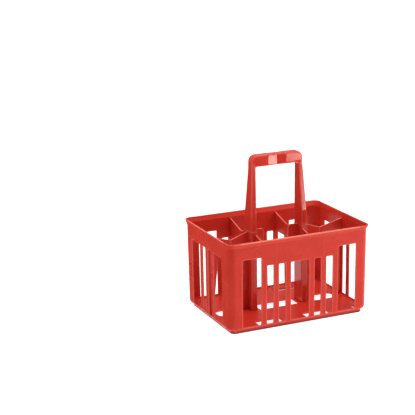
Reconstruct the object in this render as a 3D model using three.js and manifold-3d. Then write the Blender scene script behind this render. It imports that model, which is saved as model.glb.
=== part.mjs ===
// Six-bottle carrier crate: an open-sided plastic crate, two rows of three cells, with a fixed
// carrying handle standing on the two inner cell corners.
// Millimetres, +Z up. Origin at the centre of the foot's underside, X along the long side,
// +Y towards the back.
import * as THREE from 'three';
import { mergeVertices } from 'three/addons/utils/BufferGeometryUtils.js';
import Module from 'manifold-3d';

const wasm = await Module();
wasm.setup();

// ---- driving dimensions ----
const GAP = 0.3; // clearance kept between neighbouring members
const CRATE_LENGTH = 310; // over the rim, along X
const CRATE_WIDTH = 222; // over the rim, along Y
const RIM_TOP = 184;
const RIM_FOOT = 173; // where the flared rim springs from the wall
const RIM_SHOULDER = 181.5; // top of the slanted part of the rim
const RIM_RADIUS = 14; // plan radius of the rim's corners
const WALL = 2.6; // wall thickness
// How far the rim stands out from a wall, and the wall's inward lean per millimetre of height.
const LONG_WALL = { flare: 4.5, draft: 2.5 / 165 };
const END_WALL = { flare: 1.8, draft: 0.5 / 165 };

const CELL = 103.9; // pitch of the window pattern, one bottle cell
const WIDE_WINDOW = 39.5;
const BAR = 12.2; // width of a wall bar
const SLIT = (CELL - WIDE_WINDOW - 3 * BAR) / 2; // narrow window between two bars
const SILL_TOP = 12;
const WINDOW_TOP = 148.5;
const DEEP_BAND_FOOT = 131; // lower edge of the deeper band in the middle of the long walls

const FLOOR_UNDERSIDE = 6;
const FLOOR_TOP = 8.5;
const FLOOR_INSET = { x: 2.5, y: 7.2 }; // floor edge from the rim's outline
const FOOT_INSET = { x: 10.6, y: 13 };
const FOOT_WALL = 3.2;

const SLOT_HALF_WIDTH = 16; // slots along the middle of the floor
const SLOT_START = 82; // outer middle slots, from the leg web
const SLOT_END = 133; // to the end wall
const SLOT_RADIUS = 12;
const HAND_SLOT_HALF_LENGTH = 43; // slot below the grip
const EDGE_SLOT_NEAR = 73; // slots along the front and rear edges
const EDGE_SLOT_FAR = 94;
const EDGE_SLOT_SHIFT = -6; // of the front edge's slots, from the cell boundaries
const EDGE_SLOT_HALF_LENGTH = 26;
const NOTCH_START = 129; // three-cornered notch in each floor corner
const NOTCH_TIP = 138;

const DIVIDER = 2.2; // thickness of dividers, webs, ribs and gussets
const DIVIDER_END_TOP = 172;
const ROW_DIVIDER_DIP = { at: 100, top: 159 };
const COLUMN_DIVIDER_DIP = { at: 52, top: 158 };
const COLUMN_DIVIDER_LEG_TOP = 167;
const WEB_REACH = { foot: 82, head: 84 }; // outer edge of the web beside each leg
const RIB_REACH = { foot: 140, head: 127 }; // inner edge of the rib on each end wall

const GRIP_FOOT = 302;
const GRIP_TOP = 325;
const GRIP_HALF_LENGTH = 56;
const GRIP_HALF_DEPTH = 9.5;
const GRIP_RADIUS = 13;
const GRIP_WALL = 2.8;
// Handle leg, from the floor to the grip: inner face, outer face, half depth.
const LEG_STATIONS = [
  { z: FLOOR_TOP + GAP, inner: 49.5, outer: 62.5, halfDepth: 16.5 },
  { z: 203, inner: 49.5, outer: 62, halfDepth: 16 },
  { z: GRIP_FOOT - GAP, inner: 47, outer: GRIP_HALF_LENGTH, halfDepth: GRIP_HALF_DEPTH },
];
const LEG_WALL = 2.6;
const GUSSET_TOP = 174;
const GUSSET_REACH = 27; // inner end of the gusset beside each leg
const GUSSET_RADIUS = 6;

// ---- geometry helpers ----

// A closed solid through plan outlines stacked upwards. Each outline runs counter-clockwise
// seen from above, and all have the same number of points.
function loft(levels) {
  const count = levels[0].points.length;
  const positions = [];
  for (const level of levels) {
    for (const point of level.points) {
      positions.push(point.x, point.y, level.z);
    }
  }
  const index = [];
  for (let k = 0; k + 1 < levels.length; k += 1) {
    for (let i = 0; i < count; i += 1) {
      const a = k * count + i;
      const b = k * count + ((i + 1) % count);
      index.push(a, b, b + count);
      index.push(a, b + count, a + count);
    }
  }
  const top = (levels.length - 1) * count;
  const capBelow = THREE.ShapeUtils.triangulateShape(levels[0].points, []);
  const capAbove = THREE.ShapeUtils.triangulateShape(levels.at(-1).points, []);
  for (const [a, b, c] of capBelow) {
    index.push(a, c, b);
  }
  for (const [a, b, c] of capAbove) {
    index.push(top + a, top + b, top + c);
  }
  const geometry = new THREE.BufferGeometry();
  geometry.setAttribute('position', new THREE.Float32BufferAttribute(positions, 3));
  geometry.setIndex(index);
  return geometry;
}

function rectangle(x0, x1, y0, y1) {
  return [
    new THREE.Vector2(x0, y0),
    new THREE.Vector2(x1, y0),
    new THREE.Vector2(x1, y1),
    new THREE.Vector2(x0, y1),
  ];
}

// An outline in X and Y given a thickness upwards from z0.
function slab(shape, z0, thickness) {
  const geometry = new THREE.ExtrudeGeometry(shape, {
    depth: thickness,
    bevelEnabled: false,
    curveSegments: 6,
  });
  return geometry.translate(0, 0, z0);
}

// An outline in X and Z made into an upright plate centred on Y = 0.
function uprightPlate(shape, thickness) {
  const geometry = new THREE.ExtrudeGeometry(shape, {
    depth: thickness,
    bevelEnabled: false,
    curveSegments: 6,
  });
  return geometry.translate(0, 0, -thickness / 2).rotateX(Math.PI / 2);
}

function polygon(points) {
  return new THREE.Shape(points.map(([x, y]) => new THREE.Vector2(x, y)));
}

// Arcs add their own straight lead-in from the point before them.
function roundedRectangle(halfX, halfY, radius) {
  const shape = new THREE.Shape();
  const x = halfX - radius;
  const y = halfY - radius;
  shape.absarc(x, y, radius, 0, Math.PI / 2);
  shape.absarc(-x, y, radius, Math.PI / 2, Math.PI);
  shape.absarc(-x, -y, radius, Math.PI, 1.5 * Math.PI);
  shape.absarc(x, -y, radius, 1.5 * Math.PI, 2 * Math.PI);
  return shape;
}

function solidOf(geometry) {
  const bare = geometry.clone();
  bare.deleteAttribute('normal');
  bare.deleteAttribute('uv');
  const merged = mergeVertices(bare, 1e-4);
  return new wasm.Manifold(
    new wasm.Mesh({
      numProp: 3,
      vertProperties: new Float32Array(merged.attributes.position.array),
      triVerts: new Uint32Array(merged.index.array),
    }),
  );
}

function geometryOf(solid) {
  const mesh = solid.getMesh();
  const geometry = new THREE.BufferGeometry();
  geometry.setAttribute('position', new THREE.BufferAttribute(mesh.vertProperties, 3));
  geometry.setIndex(new THREE.BufferAttribute(mesh.triVerts, 1));
  return geometry;
}

function cut(body, tool) {
  return geometryOf(solidOf(body).subtract(solidOf(tool)));
}

function join(bodyA, bodyB) {
  return geometryOf(solidOf(bodyA).add(solidOf(bodyB)));
}

// ---- the crate ----
const crate = new THREE.Group();

function addMember(name, geometry, turn = 0) {
  const material = new THREE.MeshStandardMaterial({
    color: 0xcf352c,
    roughness: 0.38,
    metalness: 0,
  });
  const mesh = new THREE.Mesh(geometry, material);
  mesh.name = name;
  mesh.rotation.z = turn;
  crate.add(mesh);
}

const LONG_SIDE = { reach: CRATE_WIDTH / 2, cells: 3, ...LONG_WALL };
const END_SIDE = { reach: CRATE_LENGTH / 2, cells: 2, ...END_WALL };
const SIDES = [
  { name: 'front', turn: 0, side: LONG_SIDE },
  { name: 'right', turn: Math.PI / 2, side: END_SIDE },
  { name: 'rear', turn: Math.PI, side: LONG_SIDE },
  { name: 'left', turn: -Math.PI / 2, side: END_SIDE },
];

// Distance of the wall's outer face in from the rim's outline at height z.
function wallInset(side, z) {
  return side.flare + side.draft * (RIM_FOOT - z);
}

// Distance of the wall's inner face, less the gap, from the crate's middle.
function innerReach(side, z) {
  return side.reach - wallInset(side, z) - WALL - GAP;
}

// Half the length of the windowed stretch of a side.
function windowReach(side) {
  return ((side.cells - 1) / 2) * CELL + WIDE_WINDOW / 2;
}

// A stretch of wall between two heights, in the front wall's place.
function wallStretch(side, u0, u1, z0, z1) {
  const levels = [z0, z1].map((z) => {
    const outer = -side.reach + wallInset(side, z);
    return { z, points: rectangle(u0, u1, outer, outer + WALL) };
  });
  return loft(levels);
}

// Centres of the bars of a wall: three at each boundary between cells.
function barCentres(cells) {
  const centres = [];
  for (let boundary = 1; boundary < cells; boundary += 1) {
    const middle = (boundary - cells / 2) * CELL;
    for (const step of [-1, 0, 1]) {
      centres.push(middle + step * (BAR + SLIT));
    }
  }
  return centres;
}

function addWall({ name, turn, side }) {
  const end = windowReach(side) - GAP;
  const long = side === LONG_SIDE;
  addMember(`${name}_sill`, wallStretch(side, -end, end, FLOOR_TOP + GAP, SILL_TOP), turn);
  const upper = wallStretch(side, -end, end, WINDOW_TOP, RIM_FOOT);
  if (long) {
    const deepEnd = CELL / 2 + 1.5 * BAR + SLIT;
    const lower = wallStretch(side, -deepEnd, deepEnd, DEEP_BAND_FOOT, WINDOW_TOP);
    addMember(`${name}_top_band`, join(upper, lower), turn);
  } else {
    addMember(`${name}_top_band`, upper, turn);
  }
  const barTop = (long ? DEEP_BAND_FOOT : WINDOW_TOP) - GAP;
  barCentres(side.cells).forEach((centre, i) => {
    const bar = wallStretch(side, centre - BAR / 2, centre + BAR / 2, SILL_TOP + GAP, barTop);
    addMember(`${name}_bar_${i + 1}`, bar, turn);
  });
}

// The rim's section: heights, each with the share of the flare its outer face is still inset by.
const RIM_SECTION = [
  { z: RIM_FOOT + GAP, share: 1 },
  { z: RIM_SHOULDER, share: 0.1 },
  { z: RIM_TOP, share: 0 },
];

function addRim({ name, turn, side }) {
  const end = windowReach(side) - GAP;
  const levels = RIM_SECTION.map(({ z, share }) => {
    const outer = -side.reach + share * side.flare;
    return { z, points: rectangle(-end, end, outer, outer + WALL) };
  });
  addMember(`rim_${name}`, loft(levels), turn);
}

// Plan outline of the corner post at +X, -Y, with one arm along each wall. Each wall is given
// with the inset of its outer face: alongX has its face towards -Y, alongY towards +X.
function postOutline(alongX, alongY) {
  const segments = 6;
  const radius = RIM_RADIUS + (alongX.inset + alongY.inset) / 4;
  const faceX = alongY.side.reach - alongY.inset;
  const faceY = alongX.side.reach - alongX.inset;
  const armX = windowReach(alongX.side);
  const armY = windowReach(alongY.side);
  const centreX = faceX - radius;
  const centreY = radius - faceY;
  const innerRadius = radius - WALL;
  const points = [new THREE.Vector2(armX, -faceY)];
  for (let i = 0; i <= segments; i += 1) {
    const angle = -Math.PI / 2 + (i / segments) * (Math.PI / 2);
    points.push(
      new THREE.Vector2(centreX + radius * Math.cos(angle), centreY + radius * Math.sin(angle)),
    );
  }
  points.push(new THREE.Vector2(faceX, -armY));
  points.push(new THREE.Vector2(faceX - WALL, -armY));
  for (let i = segments; i >= 0; i -= 1) {
    const angle = -Math.PI / 2 + (i / segments) * (Math.PI / 2);
    const x = centreX + innerRadius * Math.cos(angle);
    const y = centreY + innerRadius * Math.sin(angle);
    points.push(new THREE.Vector2(x, y));
  }
  points.push(new THREE.Vector2(armX, WALL - faceY));
  return points;
}

function cornerPost(sideAlongX, sideAlongY) {
  const foot = FLOOR_TOP + GAP;
  const walls = [foot, RIM_FOOT].map((z) => {
    const alongX = { side: sideAlongX, inset: wallInset(sideAlongX, z) };
    const alongY = { side: sideAlongY, inset: wallInset(sideAlongY, z) };
    return { z, points: postOutline(alongX, alongY) };
  });
  const rim = RIM_SECTION.slice(1).map(({ z, share }) => {
    const alongX = { side: sideAlongX, inset: share * sideAlongX.flare };
    const alongY = { side: sideAlongY, inset: share * sideAlongY.flare };
    return { z, points: postOutline(alongX, alongY) };
  });
  return loft([...walls, ...rim]);
}

for (const place of SIDES) {
  addWall(place);
  addRim(place);
}
addMember('corner_post_front_right', cornerPost(LONG_SIDE, END_SIDE));
addMember('corner_post_rear_right', cornerPost(END_SIDE, LONG_SIDE), Math.PI / 2);
addMember('corner_post_rear_left', cornerPost(LONG_SIDE, END_SIDE), Math.PI);
addMember('corner_post_front_left', cornerPost(END_SIDE, LONG_SIDE), -Math.PI / 2);

// ---- foot and floor ----
function addFoot() {
  const halfX = CRATE_LENGTH / 2 - FOOT_INSET.x;
  const halfY = CRATE_WIDTH / 2 - FOOT_INSET.y;
  const radius = RIM_RADIUS;
  const outline = roundedRectangle(halfX, halfY, radius);
  outline.holes.push(
    roundedRectangle(halfX - FOOT_WALL, halfY - FOOT_WALL, radius - FOOT_WALL),
  );
  addMember('foot_ring', slab(outline, 0, FLOOR_UNDERSIDE - GAP));
}

const FLOOR_THICKNESS = FLOOR_TOP - FLOOR_UNDERSIDE;
const FLOOR_HALF_X = CRATE_LENGTH / 2 - FLOOR_INSET.x;
const FLOOR_HALF_Y = CRATE_WIDTH / 2 - FLOOR_INSET.y;
const FLOOR_RADIUS = RIM_RADIUS + (FLOOR_INSET.x + FLOOR_INSET.y) / 4;

// The panel under the front row of cells, with its edge slots and corner notches.
function floorPanel() {
  const near = -SLOT_HALF_WIDTH;
  const shape = new THREE.Shape();
  const cornerX = FLOOR_HALF_X - FLOOR_RADIUS;
  const cornerY = -(FLOOR_HALF_Y - FLOOR_RADIUS);
  shape.moveTo(FLOOR_HALF_X, near);
  shape.lineTo(-FLOOR_HALF_X, near);
  shape.absarc(-cornerX, cornerY, FLOOR_RADIUS, Math.PI, 1.5 * Math.PI);
  shape.absarc(cornerX, cornerY, FLOOR_RADIUS, 1.5 * Math.PI, 2 * Math.PI);
  let panel = slab(shape, FLOOR_UNDERSIDE, FLOOR_THICKNESS);
  for (const side of [-1, 1]) {
    const middle = (side * CELL) / 2 + EDGE_SLOT_SHIFT;
    const slot = rectangle(
      middle - EDGE_SLOT_HALF_LENGTH,
      middle + EDGE_SLOT_HALF_LENGTH,
      -EDGE_SLOT_FAR,
      -EDGE_SLOT_NEAR,
    );
    const notch = [
      new THREE.Vector2(side * NOTCH_START, -EDGE_SLOT_NEAR),
      new THREE.Vector2(side * NOTCH_START, -EDGE_SLOT_FAR),
      new THREE.Vector2(side * NOTCH_TIP, -(EDGE_SLOT_NEAR + EDGE_SLOT_FAR) / 2),
    ];
    panel = cut(panel, throughTool(slot));
    panel = cut(panel, throughTool(side > 0 ? notch : notch.reverse()));
  }
  return panel;
}

// A block of a plan outline that reaches past both faces of the floor.
function throughTool(points) {
  return loft([
    { z: FLOOR_UNDERSIDE - 1, points },
    { z: FLOOR_TOP + 1, points },
  ]);
}

// The strip of floor at the +X end wall, hollowed by the rounded end of a slot.
function floorEnd() {
  const halfWidth = SLOT_HALF_WIDTH - GAP;
  const shape = new THREE.Shape();
  const arcX = SLOT_END - SLOT_RADIUS;
  const arcY = halfWidth - SLOT_RADIUS;
  shape.moveTo(FLOOR_HALF_X, -halfWidth);
  shape.lineTo(FLOOR_HALF_X, halfWidth);
  shape.absarc(arcX, arcY, SLOT_RADIUS, Math.PI / 2, 0, true);
  shape.absarc(arcX, -arcY, SLOT_RADIUS, 0, -Math.PI / 2, true);
  return slab(shape, FLOOR_UNDERSIDE, FLOOR_THICKNESS);
}

// The bridge of floor that a leg stands on, open below the hollow leg.
function floorBridge() {
  const halfWidth = SLOT_HALF_WIDTH - GAP;
  const foot = LEG_STATIONS[0];
  const outline = rectangle(HAND_SLOT_HALF_LENGTH, SLOT_START, -halfWidth, halfWidth);
  const half = foot.halfDepth - LEG_WALL;
  const hollow = rectangle(foot.inner + LEG_WALL, foot.outer - LEG_WALL, -half, half);
  const bridge = slab(new THREE.Shape(outline), FLOOR_UNDERSIDE, FLOOR_THICKNESS);
  return cut(bridge, throughTool(hollow));
}

addFoot();
addMember('floor_front_panel', floorPanel());
addMember('floor_rear_panel', floorPanel(), Math.PI);
addMember('floor_end_right', floorEnd());
addMember('floor_end_left', floorEnd(), Math.PI);
addMember('floor_bridge_right', floorBridge());
addMember('floor_bridge_left', floorBridge(), Math.PI);

// ---- dividers, webs and ribs, each made for the +X side and turned for the other ----
const LEG_OUTER = LEG_STATIONS[0].outer + GAP;

function rowDivider() {
  return uprightPlate(
    polygon([
      [LEG_OUTER, DEEP_BAND_FOOT],
      [innerReach(END_SIDE, DEEP_BAND_FOOT), DEEP_BAND_FOOT],
      [innerReach(END_SIDE, DIVIDER_END_TOP), DIVIDER_END_TOP],
      [ROW_DIVIDER_DIP.at, ROW_DIVIDER_DIP.top],
      [LEG_OUTER, DIVIDER_END_TOP],
    ]),
    DIVIDER,
  );
}

function legWeb() {
  return uprightPlate(
    polygon([
      [LEG_OUTER, FLOOR_TOP + GAP],
      [WEB_REACH.foot, FLOOR_TOP + GAP],
      [WEB_REACH.head, DEEP_BAND_FOOT - GAP],
      [LEG_OUTER, DEEP_BAND_FOOT - GAP],
    ]),
    DIVIDER,
  );
}

function endWallRib() {
  return uprightPlate(
    polygon([
      [RIB_REACH.foot, FLOOR_TOP + GAP],
      [innerReach(END_SIDE, FLOOR_TOP + GAP), FLOOR_TOP + GAP],
      [innerReach(END_SIDE, DEEP_BAND_FOOT - GAP), DEEP_BAND_FOOT - GAP],
      [RIB_REACH.head, DEEP_BAND_FOOT - GAP],
    ]),
    DIVIDER,
  );
}

// The gusset between the leg and the middle cell, with a rounded upper corner.
function legGusset() {
  const legFace = LEG_STATIONS[0].inner - GAP;
  const shape = new THREE.Shape();
  const arcX = GUSSET_REACH + GUSSET_RADIUS;
  shape.moveTo(legFace, DEEP_BAND_FOOT);
  shape.lineTo(legFace, GUSSET_TOP);
  shape.absarc(arcX, GUSSET_TOP - GUSSET_RADIUS, GUSSET_RADIUS, Math.PI / 2, Math.PI);
  shape.lineTo(GUSSET_REACH, DEEP_BAND_FOOT);
  return uprightPlate(shape, DIVIDER);
}

// From a leg's front face to the front wall; drawn with its length along +X, then turned.
function columnDivider() {
  const legFace = LEG_STATIONS[0].halfDepth + GAP;
  return uprightPlate(
    polygon([
      [legFace, DEEP_BAND_FOOT],
      [innerReach(LONG_SIDE, DEEP_BAND_FOOT), DEEP_BAND_FOOT],
      [innerReach(LONG_SIDE, DIVIDER_END_TOP), DIVIDER_END_TOP],
      [COLUMN_DIVIDER_DIP.at, COLUMN_DIVIDER_DIP.top],
      [legFace, COLUMN_DIVIDER_LEG_TOP],
    ]),
    DIVIDER,
  );
}

for (const [end, turn] of [['right', 0], ['left', Math.PI]]) {
  addMember(`row_divider_${end}`, rowDivider(), turn);
  addMember(`leg_web_${end}`, legWeb(), turn);
  addMember(`end_wall_rib_${end}`, endWallRib(), turn);
  addMember(`leg_gusset_${end}`, legGusset(), turn);
  for (const [row, direction] of [['front', -Math.PI / 2], ['rear', Math.PI / 2]]) {
    const place = end === 'right' ? CELL / 2 : -CELL / 2;
    const divider = columnDivider().rotateZ(direction).translate(place, 0, 0);
    addMember(`column_divider_${row}_${end}`, divider);
  }
}

// ---- handle ----
function handleLeg() {
  const outside = loft(
    LEG_STATIONS.map(({ z, inner, outer, halfDepth }) => ({
      z,
      points: rectangle(inner, outer, -halfDepth, halfDepth),
    })),
  );
  const last = LEG_STATIONS.length - 1;
  const inside = loft(
    LEG_STATIONS.map(({ z, inner, outer, halfDepth }, i) => {
      const level = z + (i === 0 ? -LEG_WALL : 0) - (i === last ? LEG_WALL : 0);
      const half = halfDepth - LEG_WALL;
      return { z: level, points: rectangle(inner + LEG_WALL, outer - LEG_WALL, -half, half) };
    }),
  );
  return cut(outside, inside);
}

// The grip, hollow and open below between the legs.
function handleGrip() {
  const shape = new THREE.Shape();
  const arcX = GRIP_HALF_LENGTH - GRIP_RADIUS;
  const arcZ = GRIP_TOP - GRIP_RADIUS;
  shape.moveTo(-GRIP_HALF_LENGTH, GRIP_FOOT);
  shape.lineTo(GRIP_HALF_LENGTH, GRIP_FOOT);
  shape.absarc(arcX, arcZ, GRIP_RADIUS, 0, Math.PI / 2);
  shape.absarc(-arcX, arcZ, GRIP_RADIUS, Math.PI / 2, Math.PI);
  const outside = uprightPlate(shape, 2 * GRIP_HALF_DEPTH);
  const halfLength = LEG_STATIONS.at(-1).inner;
  const halfDepth = GRIP_HALF_DEPTH - GRIP_WALL;
  const inside = loft(
    [GRIP_FOOT - GRIP_WALL, GRIP_TOP - GRIP_WALL].map((z) => ({
      z,
      points: rectangle(-halfLength, halfLength, -halfDepth, halfDepth),
    })),
  );
  return cut(outside, inside);
}

addMember('handle_leg_right', handleLeg());
addMember('handle_leg_left', handleLeg(), Math.PI);
addMember('handle_grip', handleGrip());

export default crate;
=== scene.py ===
# Six-bottle carrier crate, moulded in one red polypropylene.
# Lengths are in millimetres up to the last step of each mesh, which scales them to metres.
import math

import bmesh
import bpy
from mathutils import Matrix, Vector
from mathutils.geometry import tessellate_polygon


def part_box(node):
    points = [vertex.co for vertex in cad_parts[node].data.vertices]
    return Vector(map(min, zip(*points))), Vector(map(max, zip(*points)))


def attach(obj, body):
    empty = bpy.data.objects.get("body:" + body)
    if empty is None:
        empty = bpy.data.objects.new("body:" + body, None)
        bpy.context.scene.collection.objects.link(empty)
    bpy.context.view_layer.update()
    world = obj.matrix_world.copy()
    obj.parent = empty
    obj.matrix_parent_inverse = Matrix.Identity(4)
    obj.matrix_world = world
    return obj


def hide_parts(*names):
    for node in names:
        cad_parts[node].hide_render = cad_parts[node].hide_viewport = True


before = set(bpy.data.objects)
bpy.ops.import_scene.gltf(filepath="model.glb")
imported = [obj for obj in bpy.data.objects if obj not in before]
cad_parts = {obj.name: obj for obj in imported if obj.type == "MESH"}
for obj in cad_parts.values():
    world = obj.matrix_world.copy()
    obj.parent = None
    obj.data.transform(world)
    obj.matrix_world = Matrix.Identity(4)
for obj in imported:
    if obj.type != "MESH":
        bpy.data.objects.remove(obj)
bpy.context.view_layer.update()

MM = 0.001


def cad_span(node, axis):
    """Lowest and highest coordinate of a CAD node along an axis, in millimetres."""
    low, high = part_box(node)
    return low[axis] / MM, high[axis] / MM


X_AXIS, Y_AXIS, Z_AXIS = 0, 1, 2
GAP = 0.3  # clearance between neighbouring CAD solids, closed up here

REACH_X = cad_span("rim_right", X_AXIS)[1]
REACH_Y = cad_span("rim_rear", Y_AXIS)[1]
RIM_TOP = cad_span("rim_front", Z_AXIS)[1]
RIM_FOOT = cad_span("rim_front", Z_AXIS)[0] - GAP
SILL_TOP = cad_span("front_sill", Z_AXIS)[1]
WINDOW_TOP = cad_span("left_bar_1", Z_AXIS)[1] + GAP
DEEP_BAND_FOOT = cad_span("front_bar_1", Z_AXIS)[1] + GAP
FLOOR_LOW, FLOOR_TOP = cad_span("floor_front_panel", Z_AXIS)
GRIP_TOP = cad_span("handle_grip", Z_AXIS)[1]
GRIP_FOOT = cad_span("handle_grip", Z_AXIS)[0]
GRIP_REACH = cad_span("handle_grip", X_AXIS)[1]
GRIP_HALF_DEPTH = cad_span("handle_grip", Y_AXIS)[1]
CELL_EDGE = sum(cad_span("column_divider_front_right", X_AXIS)) / 2

WALL = 2.6
RIM_RADIUS = 14
# Long walls and end walls: the rim's outline, how far the rim stands out from the wall, the
# wall's inward lean per millimetre of height, and how far the foot is set back from the rim.
LONG_WALL = {"reach": REACH_Y, "flare": 4.5, "draft": 2.5 / 165, "foot": 13.0}
END_WALL = {"reach": REACH_X, "flare": 1.8, "draft": 0.5 / 165, "foot": 10.6}
WALL_KINDS = (LONG_WALL, END_WALL)
ROUND_TOP = 15  # the walls round inwards below this
ROUND_FOOT = 8  # where the rounding ends in a level ledge above the foot
ROUND_REACH = 4.6  # how far in the rounding goes
SKIRT_TOP = 10  # where the walls end and the skirt begins
LONG_SEAM = 130  # where the long walls end and the corners begin
SHORT_SEAM = 86

DIVIDER = 2.2
SMOOTH_LIMIT = math.radians(38)  # faces that meet at less than this are shaded as one surface
CURVED_LIMIT = math.radians(8)  # and at more than this they bend round an edge
EDGE_WIDTH = 1.5  # faces narrower than this on a rounded edge are paler, partly stress whitening and partly a painted highlight
EDGE_ATTRIBUTE = "rounded_edge"
ARC_STEPS = 6  # of a rounded corner in an outline
EDGE_STEPS = 4  # of a rounded edge of a plate
MIN_RADIUS = 0.05
MERGE_DISTANCE = 0.001
CREASE_TOLERANCE = 0.01


# ---- outlines ----

def outline(corners, inset=0.0, seams=()):
    """A closed outline with rounded corners, each given as x, y and radius. With the corners
    counter-clockwise, every edge is drawn in by inset except the seams, which are numbered
    by the corner they start from."""
    points = []
    count = len(corners)
    for i, (x, y, radius) in enumerate(corners):
        here = Vector((x, y))
        arriving = (here - Vector(corners[i - 1][:2])).normalized()
        leaving = (Vector(corners[(i + 1) % count][:2]) - here).normalized()
        out_a = Vector((arriving.y, -arriving.x))
        out_b = Vector((leaving.y, -leaving.x))
        shift_a = 0 if (i - 1) % count in seams else -inset
        shift_b = 0 if i in seams else -inset
        cosine = out_a.dot(out_b)
        spread = 1 - cosine * cosine
        corner = here + out_a * ((shift_a - cosine * shift_b) / spread)
        corner += out_b * ((shift_b - cosine * shift_a) / spread)
        if radius == 0:
            points.append(corner)
            continue
        turn = math.acos(max(-1, min(1, arriving.dot(leaving))))
        left = arriving.x * leaving.y - arriving.y * leaving.x > 0
        grown = max(radius - inset if left else radius + inset, MIN_RADIUS)
        start = corner - arriving * (grown * math.tan(turn / 2))
        centre = start - out_a * grown if left else start + out_a * grown
        spoke = start - centre
        for step in range(ARC_STEPS + 1):
            angle = turn * step / ARC_STEPS * (1 if left else -1)
            points.append(centre + Matrix.Rotation(angle, 2) @ spoke)
    return points


def rectangle(x0, x1, y0, y1, radius=0.0):
    return [(x0, y0, radius), (x1, y0, radius), (x1, y1, radius), (x0, y1, radius)]


def edge_profile(thickness, front, back):
    """Insets and depths that round both edges of a plate, each by a quarter of an ellipse
    given as its width and depth."""
    profile = []
    for step in range(EDGE_STEPS + 1):
        angle = math.pi / 2 * step / EDGE_STEPS
        profile.append((front[0] * (1 - math.sin(angle)), front[1] * (1 - math.cos(angle))))
    for step in range(EDGE_STEPS + 1):
        angle = math.pi / 2 * (1 - step / EDGE_STEPS)
        depth = thickness - back[1] * (1 - math.cos(angle))
        profile.append((back[0] * (1 - math.sin(angle)), depth))
    return profile


# ---- meshes ----

def bridge(bm, ring_a, ring_b):
    """Joins two closed rings of as many points by a band of faces."""
    count = len(ring_a)
    for i in range(count):
        k = (i + 1) % count
        bm.faces.new((ring_a[i], ring_a[k], ring_b[k], ring_b[i]))


def loft(rings, closed=False):
    """A solid through closed rings of points, with its two ends capped or joined up."""
    bm = bmesh.new()
    made = [[bm.verts.new(point) for point in ring] for ring in rings]
    for ring_a, ring_b in zip(made, made[1:]):
        bridge(bm, ring_a, ring_b)
    if closed:
        bridge(bm, made[-1], made[0])
    else:
        for ring in (made[0], made[-1]):
            cap(bm, [ring])
    return bm


SLIVER_AREA = 0.001  # largest area of a triangle whose corners lie on one line
BOW = 3e-6  # share of a point's squared distance from the origin


def bowed(point):
    """The point moved by less than a hair, so that no three points lie on one line."""
    return point + Vector((BOW, BOW, BOW)) * point.length_squared


def cap(bm, loops):
    """Fills a flat outline, and leaves its holes open."""
    verts = [vert for loop in loops for vert in loop]
    triangles = tessellate_polygon([[bowed(vert.co) for vert in loop] for loop in loops])
    faces = [bm.faces.new([verts[i] for i in triangle]) for triangle in triangles]
    slivers = [face for face in faces if face.calc_area() < SLIVER_AREA]
    spare = {max(face.edges, key=lambda edge: edge.calc_length()) for face in slivers}
    bmesh.ops.dissolve_edges(bm, edges=list(spare))


PLATE_EDGE = (0.8, 0.8)  # width and depth of the rounding along a thin plate's edge


def plate(place, outer, holes=(), thickness=DIVIDER, front=PLATE_EDGE, back=PLATE_EDGE, seams=()):
    """A plate with rounded edges. place turns a point of the outline and a depth into space."""
    bm = bmesh.new()
    rings = []
    for inset, depth in edge_profile(thickness, front, back):
        loops = [outline(outer, inset, seams)] + [outline(hole, -inset) for hole in holes]
        rings.append([[bm.verts.new(place(p.x, p.y, depth)) for p in loop] for loop in loops])
    for ring_a, ring_b in zip(rings, rings[1:]):
        for loop_a, loop_b in zip(ring_a, ring_b):
            bridge(bm, loop_a, loop_b)
    cap(bm, rings[0])
    cap(bm, rings[-1])
    return bm


def cut_across(bm, point, normal):
    """Adds edges to the mesh where a plane cuts it, and removes nothing."""
    everything = bm.verts[:] + bm.edges[:] + bm.faces[:]
    bmesh.ops.bisect_plane(bm, geom=everything, plane_co=point, plane_no=normal)


def merge_into(bm, other):
    """Adds another solid's mesh to bm."""
    mesh = bpy.data.meshes.new("part")
    other.to_mesh(mesh)
    other.free()
    bm.from_mesh(mesh)
    bpy.data.meshes.remove(mesh)


def add_ball(bm, centre, radii):
    """A small rounded nub, sunk half into the surface it stands on."""
    shape = Matrix.Translation(centre) @ Matrix.Diagonal((*radii, 1))
    bmesh.ops.create_icosphere(bm, subdivisions=3, radius=1, matrix=shape)


def mark_rounded_edges(bm):
    """Marks the narrow faces that make up rounded edges, for the paler edge colour: partly stress
    whitening, partly a painted highlight.
    """
    layer = bm.faces.layers.float.new(EDGE_ATTRIBUTE)
    for face in bm.faces:
        longest = max(edge.calc_length() for edge in face.edges)
        long_edges = [edge for edge in face.edges if edge.calc_length() > 0.5 * longest]
        bends = [edge.calc_face_angle(0) for edge in long_edges]
        narrow = face.calc_area() < EDGE_WIDTH * longest
        face[layer] = float(narrow and any(CURVED_LIMIT < bend < SMOOTH_LIMIT for bend in bends))


def finish_piece(name, bm, nodes, material, creases=()):
    """Makes the solid a named piece that stands for CAD nodes. Creases are X positions whose
    edges stay sharp."""
    bmesh.ops.remove_doubles(bm, verts=bm.verts, dist=MERGE_DISTANCE)
    bmesh.ops.dissolve_degenerate(bm, edges=bm.edges, dist=MERGE_DISTANCE)
    bmesh.ops.recalc_face_normals(bm, faces=bm.faces)
    for face in bm.faces:
        face.smooth = True
    for edge in bm.edges:
        on_crease = any(
            all(abs(vert.co.x - x) < CREASE_TOLERANCE for vert in edge.verts) for x in creases
        )
        edge.smooth = edge.calc_face_angle(math.pi) < SMOOTH_LIMIT and not on_crease
    mark_rounded_edges(bm)
    bmesh.ops.scale(bm, vec=(MM, MM, MM), verts=bm.verts)
    mesh = bpy.data.meshes.new(name)
    bm.to_mesh(mesh)
    bm.free()
    mesh.materials.append(material)
    obj = bpy.data.objects.new(name, mesh)
    bpy.context.scene.collection.objects.link(obj)
    normals = obj.modifiers.new("flat_faces_stay_flat", "WEIGHTED_NORMAL")
    normals.keep_sharp = True
    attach(obj, "root")
    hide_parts(*nodes)


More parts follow.
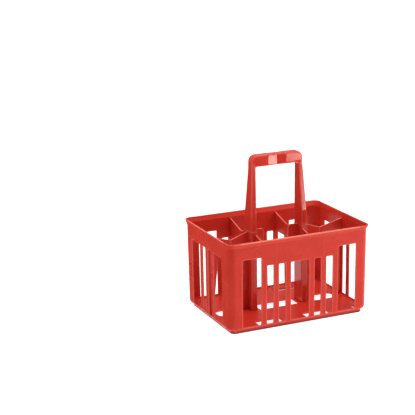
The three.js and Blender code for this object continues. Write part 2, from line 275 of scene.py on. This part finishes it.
# ---- material ----
TINT_A = (0.53, 0.029, 0.016, 1)
TINT_B = (0.57, 0.033, 0.019, 1)
STREAK_COLOUR = (0.59, 0.041, 0.026, 1)
RUB_COLOUR = (0.80, 0.20, 0.15, 1)
SCRATCH_COLOUR = (0.84, 0.26, 0.20, 1)
# Colour of the paler rounded edges: partly stress whitening, partly a painted highlight.
WHITENED_AND_HIGHLIT_EDGE_COLOUR = (0.82, 0.24, 0.17, 1)
# Painted contact shadow: the foot's lowest few millimetres darken towards the table.
CONTACT_SHADOW_COLOUR = (0.06, 0.008, 0.006, 1)
CONTACT_SHADOW_TOP = 0.0045  # metres above the table, and full at CONTACT_SHADOW_FULL
CONTACT_SHADOW_FULL = 0.001


def colour_socket(sockets, name):
    """The colour socket of a mix node, which has sockets of other types by the same name."""
    return next(socket for socket in sockets if socket.name == name and socket.type == "RGBA")


def moulded_plastic(name, roughness, scuffs, specular, edge_whitening_and_highlight, waviness, contact_shadow=0.0):
    """Glossy red polypropylene: slight colour and gloss variation, a fine tool texture, and
    pale rub marks, more of them the higher scuffs is. A painted contact shadow darkens the
    lowest edge. Waviness is the height in metres of the slow unevenness of its surface."""
    material = bpy.data.materials.new(name)
    material.use_nodes = True
    tree = material.node_tree
    tree.nodes.clear()

    def node(kind, **values):
        made = tree.nodes.new(kind)
        for key, value in values.items():
            if hasattr(made, key):
                setattr(made, key, value)
            else:
                made.inputs[key.replace("_", " ")].default_value = value
        return made

    def link(source, output, target, socket):
        tree.links.new(source.outputs[output], target.inputs[socket])

    place = node("ShaderNodeTexCoord")
    shader = node("ShaderNodeBsdfPrincipled")
    surface = node("ShaderNodeOutputMaterial")
    link(shader, "BSDF", surface, "Surface")

    def noise(scale, detail, stretch=None):
        made = node("ShaderNodeTexNoise", Scale=scale, Detail=detail)
        if stretch:
            mapping = node("ShaderNodeMapping", Scale=stretch)
            link(place, "Object", mapping, "Vector")
            link(mapping, "Vector", made, "Vector")
        else:
            link(place, "Object", made, "Vector")
        return made

    def ramp(source, low, high, to_low=0.0, to_high=1.0, output=0):
        limits = {"From_Min": low, "From_Max": high, "To_Min": to_low, "To_Max": to_high}
        made = node("ShaderNodeMapRange", **limits)
        link(source, output, made, "Value")
        return made

    def mix(factor, colour_a, colour_b):
        made = node("ShaderNodeMix", data_type="RGBA")
        link(factor, 0, made, "Factor")
        for name, colour in (("A", colour_a), ("B", colour_b)):
            target = colour_socket(made.inputs, name)
            if isinstance(colour, tuple):
                target.default_value = colour
            else:
                tree.links.new(colour_socket(colour.outputs, "Result"), target)
        return made

    clouds = noise(22, 4)
    flow = noise(60, 3, (1, 1, 0.12))
    scratches = noise(420, 2, (1, 0.06, 0.9))
    grain = noise(1500, 2)
    rubbing = noise(75, 4)

    tint = mix(ramp(clouds, 0.35, 0.65), TINT_A, TINT_B)
    streaked = mix(ramp(flow, 0.55, 0.8, 0, 0.35), tint, STREAK_COLOUR)
    rub_mask = ramp(rubbing, 0.74 - 0.14 * scuffs, 0.84, 0, 0.3 * scuffs)
    rubbed = mix(rub_mask, streaked, RUB_COLOUR)
    scratch_mask = ramp(scratches, 0.70 - 0.05 * scuffs, 0.80, 0, 0.5 * scuffs)
    scratched = mix(scratch_mask, rubbed, SCRATCH_COLOUR)
    # Paler rounded edges: partly stress whitening, partly a painted highlight along edges that
    # catch the light.
    edges = node("ShaderNodeAttribute", attribute_name=EDGE_ATTRIBUTE)
    edge_whitening_and_highlight_mask = ramp(edges, 0, 1, 0, edge_whitening_and_highlight, output="Fac")
    whitened_and_highlit = mix(edge_whitening_and_highlight_mask, scratched, WHITENED_AND_HIGHLIT_EDGE_COLOUR)
    # Painted contact shadow along the lowest edge, where the foot meets the table.
    height = node("ShaderNodeSeparateXYZ")
    link(place, "Object", height, "Vector")
    contact_shadow_mask = ramp(height, CONTACT_SHADOW_TOP, CONTACT_SHADOW_FULL, 0, contact_shadow, output="Z")
    coloured = mix(contact_shadow_mask, whitened_and_highlit, CONTACT_SHADOW_COLOUR)
    tree.links.new(colour_socket(coloured.outputs, "Result"), shader.inputs["Base Color"])

    gloss = ramp(clouds, 0.3, 0.7, 0.85 * roughness, 1.15 * roughness)
    worn_gloss = node("ShaderNodeMath", operation="ADD")
    link(gloss, 0, worn_gloss, 0)
    link(rub_mask, 0, worn_gloss, 1)
    link(worn_gloss, 0, shader, "Roughness")

    waves = noise(16, 2)
    broad = node("ShaderNodeBump", Strength=1.0, Distance=waviness)
    link(waves, 0, broad, "Height")
    fine = node("ShaderNodeBump", Strength=0.25, Distance=0.00004)
    link(grain, 0, fine, "Height")
    link(broad, "Normal", fine, "Normal")
    link(fine, "Normal", shader, "Normal")

    shader.inputs["IOR"].default_value = 1.49
    shader.inputs["Specular IOR Level"].default_value = specular
    shader.inputs["Subsurface Weight"].default_value = 0.06
    shader.inputs["Subsurface Radius"].default_value = (0.004, 0.0008, 0.0005)
    shader.inputs["Subsurface Scale"].default_value = 1.0
    return material


WALL_LOOK = {"roughness": 0.27, "scuffs": 0.06, "specular": 0.16, "waviness": 0.0006}
# The dividers and rims get a stronger paler edge: partly stress whitening, partly a painted
# highlight along their thin top edges.
wall_plastic = moulded_plastic("wall_plastic", **WALL_LOOK, edge_whitening_and_highlight=0.3)
thin_edge_plastic = moulded_plastic("thin_edge_plastic", **WALL_LOOK, edge_whitening_and_highlight=0.75)
base_plastic = moulded_plastic(
    "base_plastic",
    roughness=0.33,
    scuffs=0.4,
    specular=0.2,
    edge_whitening_and_highlight=0.3,
    waviness=0.0006,
    # painted contact shadow along the foot's lowest edge
    contact_shadow=0.9,
)
handle_plastic = moulded_plastic(
    "handle_plastic",
    roughness=0.10,
    scuffs=0.05,
    specular=0.27,
    edge_whitening_and_highlight=0.15,
    waviness=0.0002,
)


# ---- walls ----

def wall_inset(kind, z):
    """How far the outer face of the wall lies inside the rim's outline at a height."""
    if z > RIM_FOOT:
        return kind["flare"] * (RIM_TOP - z) / (RIM_TOP - RIM_FOOT)
    share = min(1, max(0, (ROUND_TOP - z) / (ROUND_TOP - ROUND_FOOT)))
    rounding = ROUND_REACH * (1 - math.sqrt(1 - share * share))
    return kind["flare"] + kind["draft"] * (RIM_FOOT - z) + rounding


def turned(x, y, z, quarter_turns):
    """A point turned about the crate's middle, from the front wall's place to another's."""
    for _ in range(quarter_turns):
        x, y = -y, x
    return Vector((x, y, z))


def window_spans(side, axis):
    """Start and end of each window of a wall, along the wall."""
    bars = []
    number = 1
    while f"{side}_bar_{number}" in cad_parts:
        bars.append(cad_span(f"{side}_bar_{number}", axis))
        number += 1
    bars.sort()
    sill = cad_span(f"{side}_sill", axis)
    edges = [sill[0] - GAP, *(edge for bar in bars for edge in bar), sill[1] + GAP]
    return list(zip(edges[::2], edges[1::2])), len(bars)


WINDOW_RADIUS = 1.6
WALL_FRONT_EDGE = (1.7, 1.15)  # width and depth of the rounding along the outer edges
WITNESS_HALF_WIDTH = 0.55  # faint upright line where a divider meets the wall from inside
WITNESS_HEIGHT = 0.16
WITNESS_SHOULDER = 0.8  # share of its height halfway down its sides
WITNESS_ROOT = 0.3  # how far its edges reach into the wall
WITNESS_END = 0.1  # how far its ends sink below the wall's face
ROUND_LEVELS = (15, 14, 13.1, 12.2, 11.4, 10.7)  # heights between which the rounding is flat


def witness_line(place, u, foot):
    """A low ridge up the outside of a wall's top band."""
    rings = []
    for z, height in (
        (foot + 1.5, -WITNESS_END),
        (foot + 2.5, WITNESS_HEIGHT),
        (RIM_FOOT - 2, WITNESS_HEIGHT),
        (RIM_FOOT - 1, -WITNESS_END),
    ):
        side_height = height * WITNESS_SHOULDER
        profile = [
            (-1, -WITNESS_ROOT),
            (-0.5, side_height),
            (0, height),
            (0.5, side_height),
            (1, -WITNESS_ROOT),
        ]
        rings.append([place(u + share * WITNESS_HALF_WIDTH, z, -h) for share, h in profile])
    return loft(rings)


def wall(side, quarter_turns, seam):
    """One wall below the rim, between the seams with its two corners."""
    long = quarter_turns % 2 == 0
    kind = WALL_KINDS[quarter_turns % 2]
    spans, bar_count = window_spans(side, X_AXIS if long else Y_AXIS)
    holes = []
    for number, (start, end) in enumerate(spans):
        at_end = number in (0, len(spans) - 1)
        top = DEEP_BAND_FOOT if long and not at_end else WINDOW_TOP
        holes.append(rectangle(start, end, SILL_TOP, top, WINDOW_RADIUS))

    def place(u, z, depth):
        return turned(u, depth + wall_inset(kind, z) - kind["reach"], z, quarter_turns)

    bm = plate(
        lambda u, z, depth: Vector((u, depth, z)),
        rectangle(-seam, seam, SKIRT_TOP, RIM_FOOT),
        holes,
        WALL,
        WALL_FRONT_EDGE,
        seams=(0, 1, 2, 3),
    )
    for z in ROUND_LEVELS:
        cut_across(bm, (0, 0, z), (0, 0, 1))
    for vert in bm.verts:
        vert.co = place(vert.co.x, vert.co.z, vert.co.y)
    foot = DEEP_BAND_FOOT if long else WINDOW_TOP
    for u in (-CELL_EDGE, CELL_EDGE) if long else (0,):
        merge_into(bm, witness_line(place, u, foot))
    nodes = [f"{side}_sill", f"{side}_top_band"]
    nodes += [f"{side}_bar_{number}" for number in range(1, bar_count + 1)]
    finish_piece(f"{side}_wall", bm, nodes, wall_plastic)


# ---- rim and corners ----
# Sections are drawn as inset from the rim's outline and height, up the outside and down the
# inside.

def rim_section(kind):
    """The flared rim above a wall, each point with its radius."""
    flare = kind["flare"]
    return [
        (flare, RIM_FOOT + 0.2 * flare, 2.5),
        (0.08 * flare, RIM_TOP - 2.9, 1.6),
        (0.0, RIM_TOP, 1.25),
        (WALL, RIM_TOP, 1.25),
        (WALL + 0.08 * flare, RIM_TOP - 2.6, 1.6),
        (flare + WALL, RIM_FOOT + 0.27 * flare, 2.5),
    ]


def rim(side, quarter_turns, seam):
    kind = WALL_KINDS[quarter_turns % 2]
    flare = kind["flare"]
    profile = outline([(flare, RIM_FOOT, 0), *rim_section(kind), (flare + WALL, RIM_FOOT, 0)])
    rings = []
    for u in (-seam, seam):
        rings.append([turned(u, inset - kind["reach"], z, quarter_turns) for inset, z in profile])
    finish_piece(f"{side}_rim", loft(rings), [f"rim_{side}"], thin_edge_plastic)


def corner_kinds(quarter_turns):
    """The walls on either side of a corner, the one at its start first."""
    first = WALL_KINDS[quarter_turns % 2]
    return first, WALL_KINDS[(quarter_turns + 1) % 2]


def corner_ring(sections, quarter_turns, angle):
    """The points of a corner at an angle of its arc, 0 where it leaves the first wall. The
    sections of the two walls are blended into each other on the way round."""
    first, last = corner_kinds(quarter_turns)
    ring = []
    for (inset_a, z_a), (inset_b, z_b) in zip(*sections):
        z = z_a * math.cos(angle) ** 2 + z_b * math.sin(angle) ** 2
        radius = RIM_RADIUS + (upright_inset(first, z) + upright_inset(last, z)) / 4
        spoke_a = radius + upright_inset(first, z) - inset_a
        spoke_b = radius + upright_inset(last, z) - inset_b
        x = last["reach"] - inset_b + spoke_b * (math.sin(angle) - 1)
        y = inset_a - first["reach"] + spoke_a * (1 - math.cos(angle))
        ring.append(turned(x, y, z, quarter_turns))
    return ring


def upright_inset(kind, z):
    """The wall's inset without the rounding at its foot."""
    return wall_inset(kind, max(z, ROUND_TOP))


CORNER_STEPS = 14


def corner(name, node, quarter_turns):
    """A corner post with its part of the rim, and the short ends of both walls."""
    levels = [SKIRT_TOP, *reversed(ROUND_LEVELS), RIM_FOOT]
    kinds = corner_kinds(quarter_turns)
    sections = []
    for kind in kinds:
        outside = [(wall_inset(kind, z), z, 0) for z in levels]
        inside = [(inset + WALL, z, 0) for inset, z, _ in reversed(outside)]
        sections.append(outline([*outside, *rim_section(kind), *inside]))
    first_seam, last_seam = [LONG_SEAM if kind is LONG_WALL else SHORT_SEAM for kind in kinds]
    first_reach, last_reach = [kind["reach"] for kind in kinds]
    start = [turned(first_seam, inset - first_reach, z, quarter_turns) for inset, z in sections[0]]
    end = [turned(last_reach - inset, -last_seam, z, quarter_turns) for inset, z in sections[1]]
    rings = [start]
    for step in range(CORNER_STEPS + 1):
        rings.append(corner_ring(sections, quarter_turns, math.pi / 2 * step / CORNER_STEPS))
    rings.append(end)
    finish_piece(name, loft(rings), [node], wall_plastic)


# ---- skirt, foot and floor ----
FOOT_WALL = 3.2
LEDGE = 1.6  # how far the floor plate's edge lies inside the foot's outer face
SKIRT_LEVELS = (10, 9.4, 8.9, 8.5, 8.2, 8.05)


def around(sections):
    """Rings all the way round the crate, through the arcs of the four corners."""
    rings = []
    for quarter_turns in range(4):
        pair = sections if quarter_turns % 2 == 0 else sections[::-1]
        for step in range(CORNER_STEPS + 1):
            rings.append(corner_ring(pair, quarter_turns, math.pi / 2 * step / CORNER_STEPS))
    return rings


def skirt_and_foot():
    """The rounding's end below the walls, and the foot that the crate stands on."""
    sections = []
    for kind in WALL_KINDS:
        foot = kind["foot"]
        inside = wall_inset(kind, SKIRT_TOP) + WALL
        section = [
            *((wall_inset(kind, z), z, 0) for z in SKIRT_LEVELS),
            (foot, ROUND_FOOT, 0.5),
            (foot + 0.4, 0, 0.9),
            (foot + FOOT_WALL - 0.2, 0, 0.8),
            (foot + FOOT_WALL, FLOOR_LOW, 0),
            (foot + LEDGE, FLOOR_LOW, 0),
            (foot + LEDGE, FLOOR_TOP, 0),
            (inside, FLOOR_TOP, 0.6),
            (inside, SKIRT_TOP, 0),
        ]
        sections.append(outline(section))
    rings = around(sections)
    finish_piece("skirt_and_foot", loft(rings, closed=True), ["foot_ring"], base_plastic)


LEG_FOOT = {"inner": 49.5, "outer": 62.5, "half_depth": 16.5}
LEG_WALL = 2.6
FLOOR_FRONT_EDGE = (0.7, 0.6)  # width and depth of the rounding along its upper edges
FLOOR_BACK_EDGE = (0.4, 0.4)
SLOT_HALF_WIDTH = 16
HAND_SLOT_REACH = cad_span("floor_bridge_right", X_AXIS)[0]
OUTER_SLOT_START = cad_span("floor_bridge_right", X_AXIS)[1]
OUTER_SLOT_END = 133
EDGE_SLOT_NEAR, EDGE_SLOT_FAR, EDGE_SLOT_REACH = 73, 94, 26
EDGE_SLOT_SHIFT = 6  # of an edge slot from the cell boundary, the same way round at each corner
NOTCH_START, NOTCH_TIP = 129, 138


def mirrored(corners, flip_x, flip_y):
    """The outline mirrored, and still counter-clockwise."""
    flipped = [(x * flip_x, y * flip_y, radius) for x, y, radius in corners]
    return flipped if flip_x * flip_y > 0 else flipped[::-1]


def crate_floor():
    holes = [rectangle(-HAND_SLOT_REACH, HAND_SLOT_REACH, -SLOT_HALF_WIDTH, SLOT_HALF_WIDTH, 2.5)]
    outer_slot = [
        (OUTER_SLOT_START, -SLOT_HALF_WIDTH, 2),
        (OUTER_SLOT_END, -SLOT_HALF_WIDTH, 12),
        (OUTER_SLOT_END, SLOT_HALF_WIDTH, 12),
        (OUTER_SLOT_START, SLOT_HALF_WIDTH, 2),
    ]
    half = LEG_FOOT["half_depth"] - LEG_WALL
    leg_hole = rectangle(
        LEG_FOOT["inner"] + LEG_WALL, LEG_FOOT["outer"] - LEG_WALL, -half, half, 0.9
    )
    middle = (EDGE_SLOT_NEAR + EDGE_SLOT_FAR) / 2
    notch = [
        (NOTCH_START, EDGE_SLOT_NEAR, 1),
        (NOTCH_TIP, middle, 1),
        (NOTCH_START, EDGE_SLOT_FAR, 1),
    ]
    for flip_x in (1, -1):
        holes.append(mirrored(outer_slot, flip_x, 1))
        holes.append(mirrored(leg_hole, flip_x, 1))
        for flip_y in (1, -1):
            slot_middle = CELL_EDGE + EDGE_SLOT_SHIFT * flip_x * flip_y
            start, end = slot_middle - EDGE_SLOT_REACH, slot_middle + EDGE_SLOT_REACH
            edge_slot = rectangle(start, end, EDGE_SLOT_NEAR, EDGE_SLOT_FAR, 2)
            holes.append(mirrored(edge_slot, flip_x, flip_y))
            holes.append(mirrored(notch, flip_x, flip_y))

    edge = [[(kind["foot"] + LEDGE, FLOOR_TOP)] for kind in WALL_KINDS]
    corners = [(point.x, point.y, 0) for (point,) in around(edge)]

    def place(px, py, depth):
        return Vector((px, py, FLOOR_TOP - depth))

    bm = plate(
        place,
        corners,
        holes,
        FLOOR_TOP - FLOOR_LOW,
        FLOOR_FRONT_EDGE,
        FLOOR_BACK_EDGE,
        seams=range(len(corners)),
    )
    nodes = ["floor_front_panel", "floor_rear_panel"]
    nodes += [f"floor_{part}_{end}" for part in ("end", "bridge") for end in ("left", "right")]
    finish_piece("crate_floor", bm, nodes, base_plastic)


# ---- dividers and gussets ----
SINK = 0.6  # how far a plate runs into the member it is moulded onto
DIVIDER_END_TOP = 172
ROW_DIP = {"at": 100, "top": 159}
COLUMN_DIP = {"at": 52, "top": 158}
COLUMN_LEG_TOP = 167
WEB_REACH = {"foot": 82, "head": 84}
RIB_REACH = {"foot": 140, "head": 127}
PORTAL_RADIUS = 5
DIP_RADIUS = 4
GUSSET_TOP = 174
GUSSET_REACH = 27
RIDGE_MIDDLE = 153.75  # short upright ridge below the dip of each row divider
RIDGE_RADII = (0.8, 0.7, 3.25)


def inner_reach(kind, z):
    """Where a divider ends at a height, just inside the wall's thickness."""
    return kind["reach"] - upright_inset(kind, z) - WALL + SINK


def row_plane(end):
    """Places a plate in the upright plane between the two rows of cells."""
    def place(x, z, depth):
        return Vector((x * end, depth - DIVIDER / 2, z))

    return place


def row_divider(side, end):
    """The divider from a handle's leg to the end wall, with the web and the rib below it."""
    leg = LEG_FOOT["outer"] - SINK
    base = FLOOR_TOP - SINK
    wall_foot = inner_reach(END_WALL, ROUND_TOP)
    corners = [
        (leg, base, 0),
        (WEB_REACH["foot"], base, 0),
        (WEB_REACH["head"], DEEP_BAND_FOOT, PORTAL_RADIUS),
        (RIB_REACH["head"], DEEP_BAND_FOOT, PORTAL_RADIUS),
        (RIB_REACH["foot"], base, 0),
        (wall_foot - 3.4, base, 0),
        (wall_foot - 0.6, 11.5, 0),
        (wall_foot, ROUND_TOP, 0),
        (inner_reach(END_WALL, DIVIDER_END_TOP), DIVIDER_END_TOP, 0),
        (ROW_DIP["at"], ROW_DIP["top"], DIP_RADIUS),
        (leg, DIVIDER_END_TOP, 0),
    ]
    bm = plate(row_plane(end), corners, seams=(0, 4, 5, 6, 7, 10))
    for face in (-1, 1):
        add_ball(bm, (ROW_DIP["at"] * end, face * DIVIDER / 2, RIDGE_MIDDLE), RIDGE_RADII)
    nodes = [f"row_divider_{side}", f"leg_web_{side}", f"end_wall_rib_{side}"]
    finish_piece(f"{side}_row_divider", bm, nodes, thin_edge_plastic)


def gusset(side, end):
    """The short plate that runs from a handle's leg towards the middle cells."""
    leg = LEG_FOOT["inner"] + SINK
    corners = [
        (leg, DEEP_BAND_FOOT, 0),
        (leg, GUSSET_TOP, 0),
        (GUSSET_REACH, GUSSET_TOP, 6),
        (GUSSET_REACH, DEEP_BAND_FOOT, 3),
    ]
    bm = plate(row_plane(end), corners, seams=(0,))
    finish_piece(f"{side}_leg_gusset", bm, [f"leg_gusset_{side}"], thin_edge_plastic)


def column_divider(row, facing, side, end):
    """The divider between two cells of a row, from the handle's leg to the long wall."""
    leg = LEG_FOOT["half_depth"] - SINK
    corners = [
        (leg, DEEP_BAND_FOOT, 0),
        (inner_reach(LONG_WALL, DEEP_BAND_FOOT), DEEP_BAND_FOOT, 0),
        (inner_reach(LONG_WALL, DIVIDER_END_TOP), DIVIDER_END_TOP, 0),
        (COLUMN_DIP["at"], COLUMN_DIP["top"], DIP_RADIUS),
        (leg, COLUMN_LEG_TOP, 0),
    ]

    def place(y, z, depth):
        return Vector((CELL_EDGE * end + depth - DIVIDER / 2, y * facing, z))

    bm = plate(place, corners, seams=(1, 4))
    name = f"{row}_{side}_column_divider"
    finish_piece(name, bm, [f"column_divider_{row}_{side}"], thin_edge_plastic)


# ---- handle ----
LEG_CORNER = 2.5
LEG_SHOULDER = 173  # the leg is a little stouter below this
LEG_BEND = 203  # the leg tapers above this
LEG_BASE = FLOOR_TOP - 1
LEG_HOLLOW_TOP = 280
GRIP_SEAM = 296  # where the grip's piece meets the legs' pieces
GRIP_RADIUS = 13
GRIP_INNER_RADIUS = 4
NOTCH_REACH = 20  # the finger notch in the middle of the grip, front and back
NOTCH_DEPTH = 2.0
GATE_MARK = (10.5, -GRIP_HALF_DEPTH + 2.2, GRIP_TOP - 1.4)
GATE_MARK_RADII = (1.3, 1.1, 1.2)


def leg_section(z):
    """Inner face, outer face and half depth of a leg at a height."""
    foot = (LEG_FOOT["inner"], LEG_FOOT["outer"] + 0.6, LEG_FOOT["half_depth"] + 0.7)
    bend = (LEG_FOOT["inner"], LEG_FOOT["outer"] - 0.5, LEG_FOOT["half_depth"] - 0.5)
    head = (47.0, GRIP_REACH, GRIP_HALF_DEPTH)
    if z <= LEG_SHOULDER:
        return foot
    if z <= LEG_BEND:
        return bend
    share = (z - LEG_BEND) / (GRIP_FOOT - LEG_BEND)
    return tuple(a + (b - a) * share for a, b in zip(bend, head))


def leg_ring(z, end, level=None, inset=0.0, radius=LEG_CORNER):
    """The leg's outline for a height, drawn at another level where one is given."""
    inner, outer, half = leg_section(z)
    corners = rectangle(inner, outer, -half, half, radius)
    height = z if level is None else level
    return [Vector((p.x * end, p.y, height)) for p in outline(corners, inset)]


def handle_leg(side, end):
    """A hollow leg, open at its foot."""
    hollow_levels = (LEG_HOLLOW_TOP, LEG_BEND, LEG_BASE)
    hollow = [leg_ring(z, end, z, LEG_WALL, LEG_WALL + 0.5) for z in hollow_levels]
    outside = [
        leg_ring(LEG_BASE, end),
        leg_ring(LEG_SHOULDER, end, LEG_SHOULDER - 1.2),
        leg_ring(LEG_SHOULDER, end, LEG_SHOULDER - 0.35, 0.25),
        leg_ring(LEG_SHOULDER, end, LEG_SHOULDER, 0.6),
        leg_ring(LEG_SHOULDER + 0.1, end),
        leg_ring(LEG_BEND, end, LEG_BEND - 0.6),
        leg_ring(LEG_BEND + 1.2, end),
        leg_ring(GRIP_SEAM, end),
    ]
    bm = loft(hollow + outside)
    finish_piece(f"{side}_handle_leg", bm, [f"handle_leg_{side}"], handle_plastic)


def grip():
    """The bar of the handle, down to the seams with its legs."""
    inner, outer, half = leg_section(GRIP_SEAM)
    head_inner = leg_section(GRIP_FOOT)[0]
    corners = [
        (inner, GRIP_SEAM, 0),
        (outer, GRIP_SEAM, 0),
        (GRIP_REACH, GRIP_TOP, GRIP_RADIUS),
        (-GRIP_REACH, GRIP_TOP, GRIP_RADIUS),
        (-outer, GRIP_SEAM, 0),
        (-inner, GRIP_SEAM, 0),
        (-head_inner, GRIP_FOOT, GRIP_INNER_RADIUS),
        (head_inner, GRIP_FOOT, GRIP_INNER_RADIUS),
    ]

    def place(x, z, depth):
        share = max(0, (GRIP_FOOT - z) / (GRIP_FOOT - GRIP_SEAM))
        half_depth = GRIP_HALF_DEPTH + (half - GRIP_HALF_DEPTH) * share
        return Vector((x, (depth / GRIP_HALF_DEPTH - 1) * half_depth, z))

    edge = (LEG_CORNER, LEG_CORNER)
    bm = plate(place, corners, (), 2 * GRIP_HALF_DEPTH, edge, edge, seams=(0, 4))
    creases = (-NOTCH_REACH, 0, NOTCH_REACH)
    for x in creases:
        cut_across(bm, (x, 0, 0), (1, 0, 0))
    for vert in bm.verts:
        notch = NOTCH_DEPTH * max(0, 1 - abs(vert.co.x) / NOTCH_REACH)
        vert.co.y *= 1 - notch / GRIP_HALF_DEPTH
    add_ball(bm, GATE_MARK, GATE_MARK_RADII)
    finish_piece("grip", bm, ["handle_grip"], handle_plastic, creases)


# ---- the crate ----
SIDES = ("front", "right", "rear", "left")
for quarter_turns, side in enumerate(SIDES):
    seam = LONG_SEAM if quarter_turns % 2 == 0 else SHORT_SEAM
    wall(side, quarter_turns, seam)
    rim(side, quarter_turns, seam)
CORNERS = ("front_right", "rear_right", "rear_left", "front_left")
for quarter_turns, place_name in enumerate(CORNERS):
    corner(f"{place_name}_corner", f"corner_post_{place_name}", quarter_turns)
skirt_and_foot()
crate_floor()
for side, end in (("right", 1), ("left", -1)):
    row_divider(side, end)
    gusset(side, end)
    handle_leg(side, end)
    for row, facing in (("front", -1), ("rear", 1)):
        column_divider(row, facing, side, end)
grip()


# ---- stage, light and camera ----
# Lengths from here on are in metres.
WHITE = (1, 1, 1, 1)


def stage_plane(name, half_size, colour, roughness, glow_colour, glow):
    """A level square of one colour that belongs to the stage."""
    bm = bmesh.new()
    bmesh.ops.create_grid(bm, x_segments=1, y_segments=1, size=half_size)
    mesh = bpy.data.meshes.new(name)
    bm.to_mesh(mesh)
    bm.free()
    material = bpy.data.materials.new(name)
    material.use_nodes = True
    shader = material.node_tree.nodes["Principled BSDF"]
    shader.inputs["Base Color"].default_value = colour
    shader.inputs["Roughness"].default_value = roughness
    shader.inputs["Emission Color"].default_value = glow_colour
    shader.inputs["Emission Strength"].default_value = glow
    mesh.materials.append(material)
    obj = bpy.data.objects.new(name, mesh)
    bpy.context.scene.collection.objects.link(obj)
    return obj


def card(name, location, size, colour, glow=0.0, turn=0.0):
    """A card lying on the floor beside the object, seen only in the object's gloss. It is
    turned by turn degrees about the vertical."""
    obj = stage_plane(name, 0.5, colour, 0.9, colour, glow)
    obj.location = location
    obj.scale = (*size, 1)
    obj.rotation_euler = (0, 0, math.radians(turn))
    obj.visible_camera = False
    obj.visible_diffuse = False
    obj.visible_shadow = False


def softbox(name, location, target, size, power, in_gloss=True):
    """A rectangular light aimed at a point. Without in_gloss it leaves no highlight."""
    light = bpy.data.lights.new(name, "AREA")
    light.shape = "RECTANGLE"
    light.size, light.size_y = size
    light.energy = power
    obj = bpy.data.objects.new(name, light)
    obj.location = location
    aim = Vector(target) - Vector(location)
    obj.rotation_euler = aim.to_track_quat("-Z", "Y").to_euler()
    obj.visible_camera = False
    obj.visible_glossy = in_gloss
    bpy.context.scene.collection.objects.link(obj)


def direction(azimuth, elevation):
    """The unit vector towards an azimuth from the front and a height, both in degrees."""
    turn = math.radians(azimuth)
    rise = math.radians(elevation)
    level = math.cos(rise)
    return Vector((math.sin(turn) * level, -math.cos(turn) * level, math.sin(rise)))


def daylight(azimuth, elevation, strength):
    """A very wide, soft source overhead that lights the floor evenly."""
    light = bpy.data.lights.new("overhead_light", "SUN")
    light.energy = strength
    light.angle = math.radians(60)
    obj = bpy.data.objects.new("overhead_light", light)
    obj.rotation_euler = direction(azimuth, elevation).to_track_quat("Z", "Y").to_euler()
    bpy.context.scene.collection.objects.link(obj)


WORLD_BRIGHT = 0.42
WORLD_DIM = 0.2
DIM_SIDE = Vector((-0.55, -0.83, 0.05)).normalized()


def studio_world():
    """White surroundings, dimmer to the front and left."""
    world = bpy.data.worlds.new("studio")
    bpy.context.scene.world = world
    world.use_nodes = True
    tree = world.node_tree
    place = tree.nodes.new("ShaderNodeTexCoord")
    dot = tree.nodes.new("ShaderNodeVectorMath")
    dot.operation = "DOT_PRODUCT"
    dot.inputs[1].default_value = DIM_SIDE
    tree.links.new(place.outputs["Generated"], dot.inputs[0])
    ramp = tree.nodes.new("ShaderNodeMapRange")
    ramp.inputs["From Min"].default_value = -0.1
    ramp.inputs["From Max"].default_value = 0.9
    ramp.inputs["To Min"].default_value = WORLD_BRIGHT
    ramp.inputs["To Max"].default_value = WORLD_DIM
    tree.links.new(dot.outputs["Value"], ramp.inputs["Value"])
    tree.links.new(ramp.outputs[0], tree.nodes["Background"].inputs["Strength"])
    tree.nodes["Background"].inputs["Color"].default_value = WHITE


CAMERA_TARGET = Vector((-0.14828, 0, 0.23137))
CAMERA_DISTANCE = 2.388
CAMERA_BACK = direction(-23.48, 15.21)  # from the target to the camera
CAMERA_ROLL = math.radians(-1.17)
CAMERA_LENS = 106.4


def main_camera():
    data = bpy.data.cameras.new("main_camera")
    data.lens = CAMERA_LENS
    data.clip_end = 100
    obj = bpy.data.objects.new("main_camera", data)
    right = Vector((0, 0, 1)).cross(CAMERA_BACK).normalized()
    up = CAMERA_BACK.cross(right)
    axes = Matrix((right, up, CAMERA_BACK)).transposed().to_4x4()
    roll = Matrix.Rotation(CAMERA_ROLL, 4, CAMERA_BACK)
    place = Matrix.Translation(CAMERA_TARGET + CAMERA_BACK * CAMERA_DISTANCE)
    obj.matrix_world = place @ roll @ axes
    bpy.context.scene.collection.objects.link(obj)
    bpy.context.scene.camera = obj


FLOOR_HALF_SIZE = 20
DARK_RED = (0.12, 0.03, 0.02, 1)
WARM_WHITE = (1, 0.9, 0.78, 1)
PALE_WHITE = (1, 0.93, 0.85, 1)
CARD_TURN = 27.4

stage_plane("studio_floor", FLOOR_HALF_SIZE, (0.55, 0.55, 0.55, 1), 0.7, WHITE, 0.86)
studio_world()
daylight(azimuth=30, elevation=60, strength=0.4)

OVER_TABLE = (0.0, 0.0, 0.1)
FILL_SIZE = (0.8, 0.8)
softbox("right_softbox", (0.75, -0.45, 0.5), (0.0, 0.0, 0.2), (0.25, 0.8), 2.2)
softbox("left_fill", (-0.9, 0.45, 0.4), OVER_TABLE, (0.8, 0.7), 3.3, in_gloss=False)
softbox("front_fill", (1.0, -1.3, 0.4), OVER_TABLE, FILL_SIZE, 4.4, in_gloss=False)
softbox("top_fill", (0.0, 0.0, 1.2), (0.0, 0.0, 0.0), FILL_SIZE, 10.0)
softbox("rear_fill", (0.3, 1.5, 0.6), OVER_TABLE, FILL_SIZE, 6.5, in_gloss=False)
card("dark_card", (-0.66, 0.4, 0.003), (1.0, 2.4), DARK_RED)
card("front_dark_card", (0.74, -1.52, 0.002), (0.8, 1.5), DARK_RED, turn=CARD_TURN)
card("light_card", (0.893, -1.608, 0.003), (0.15, 1.15), WARM_WHITE, 8.8, CARD_TURN)
card("bright_card", (0.715, -0.966, 0.004), (0.25, 0.45), PALE_WHITE, 21.0, turn=24.2)
main_camera()
bpy.context.scene.view_settings.view_transform = "Standard"
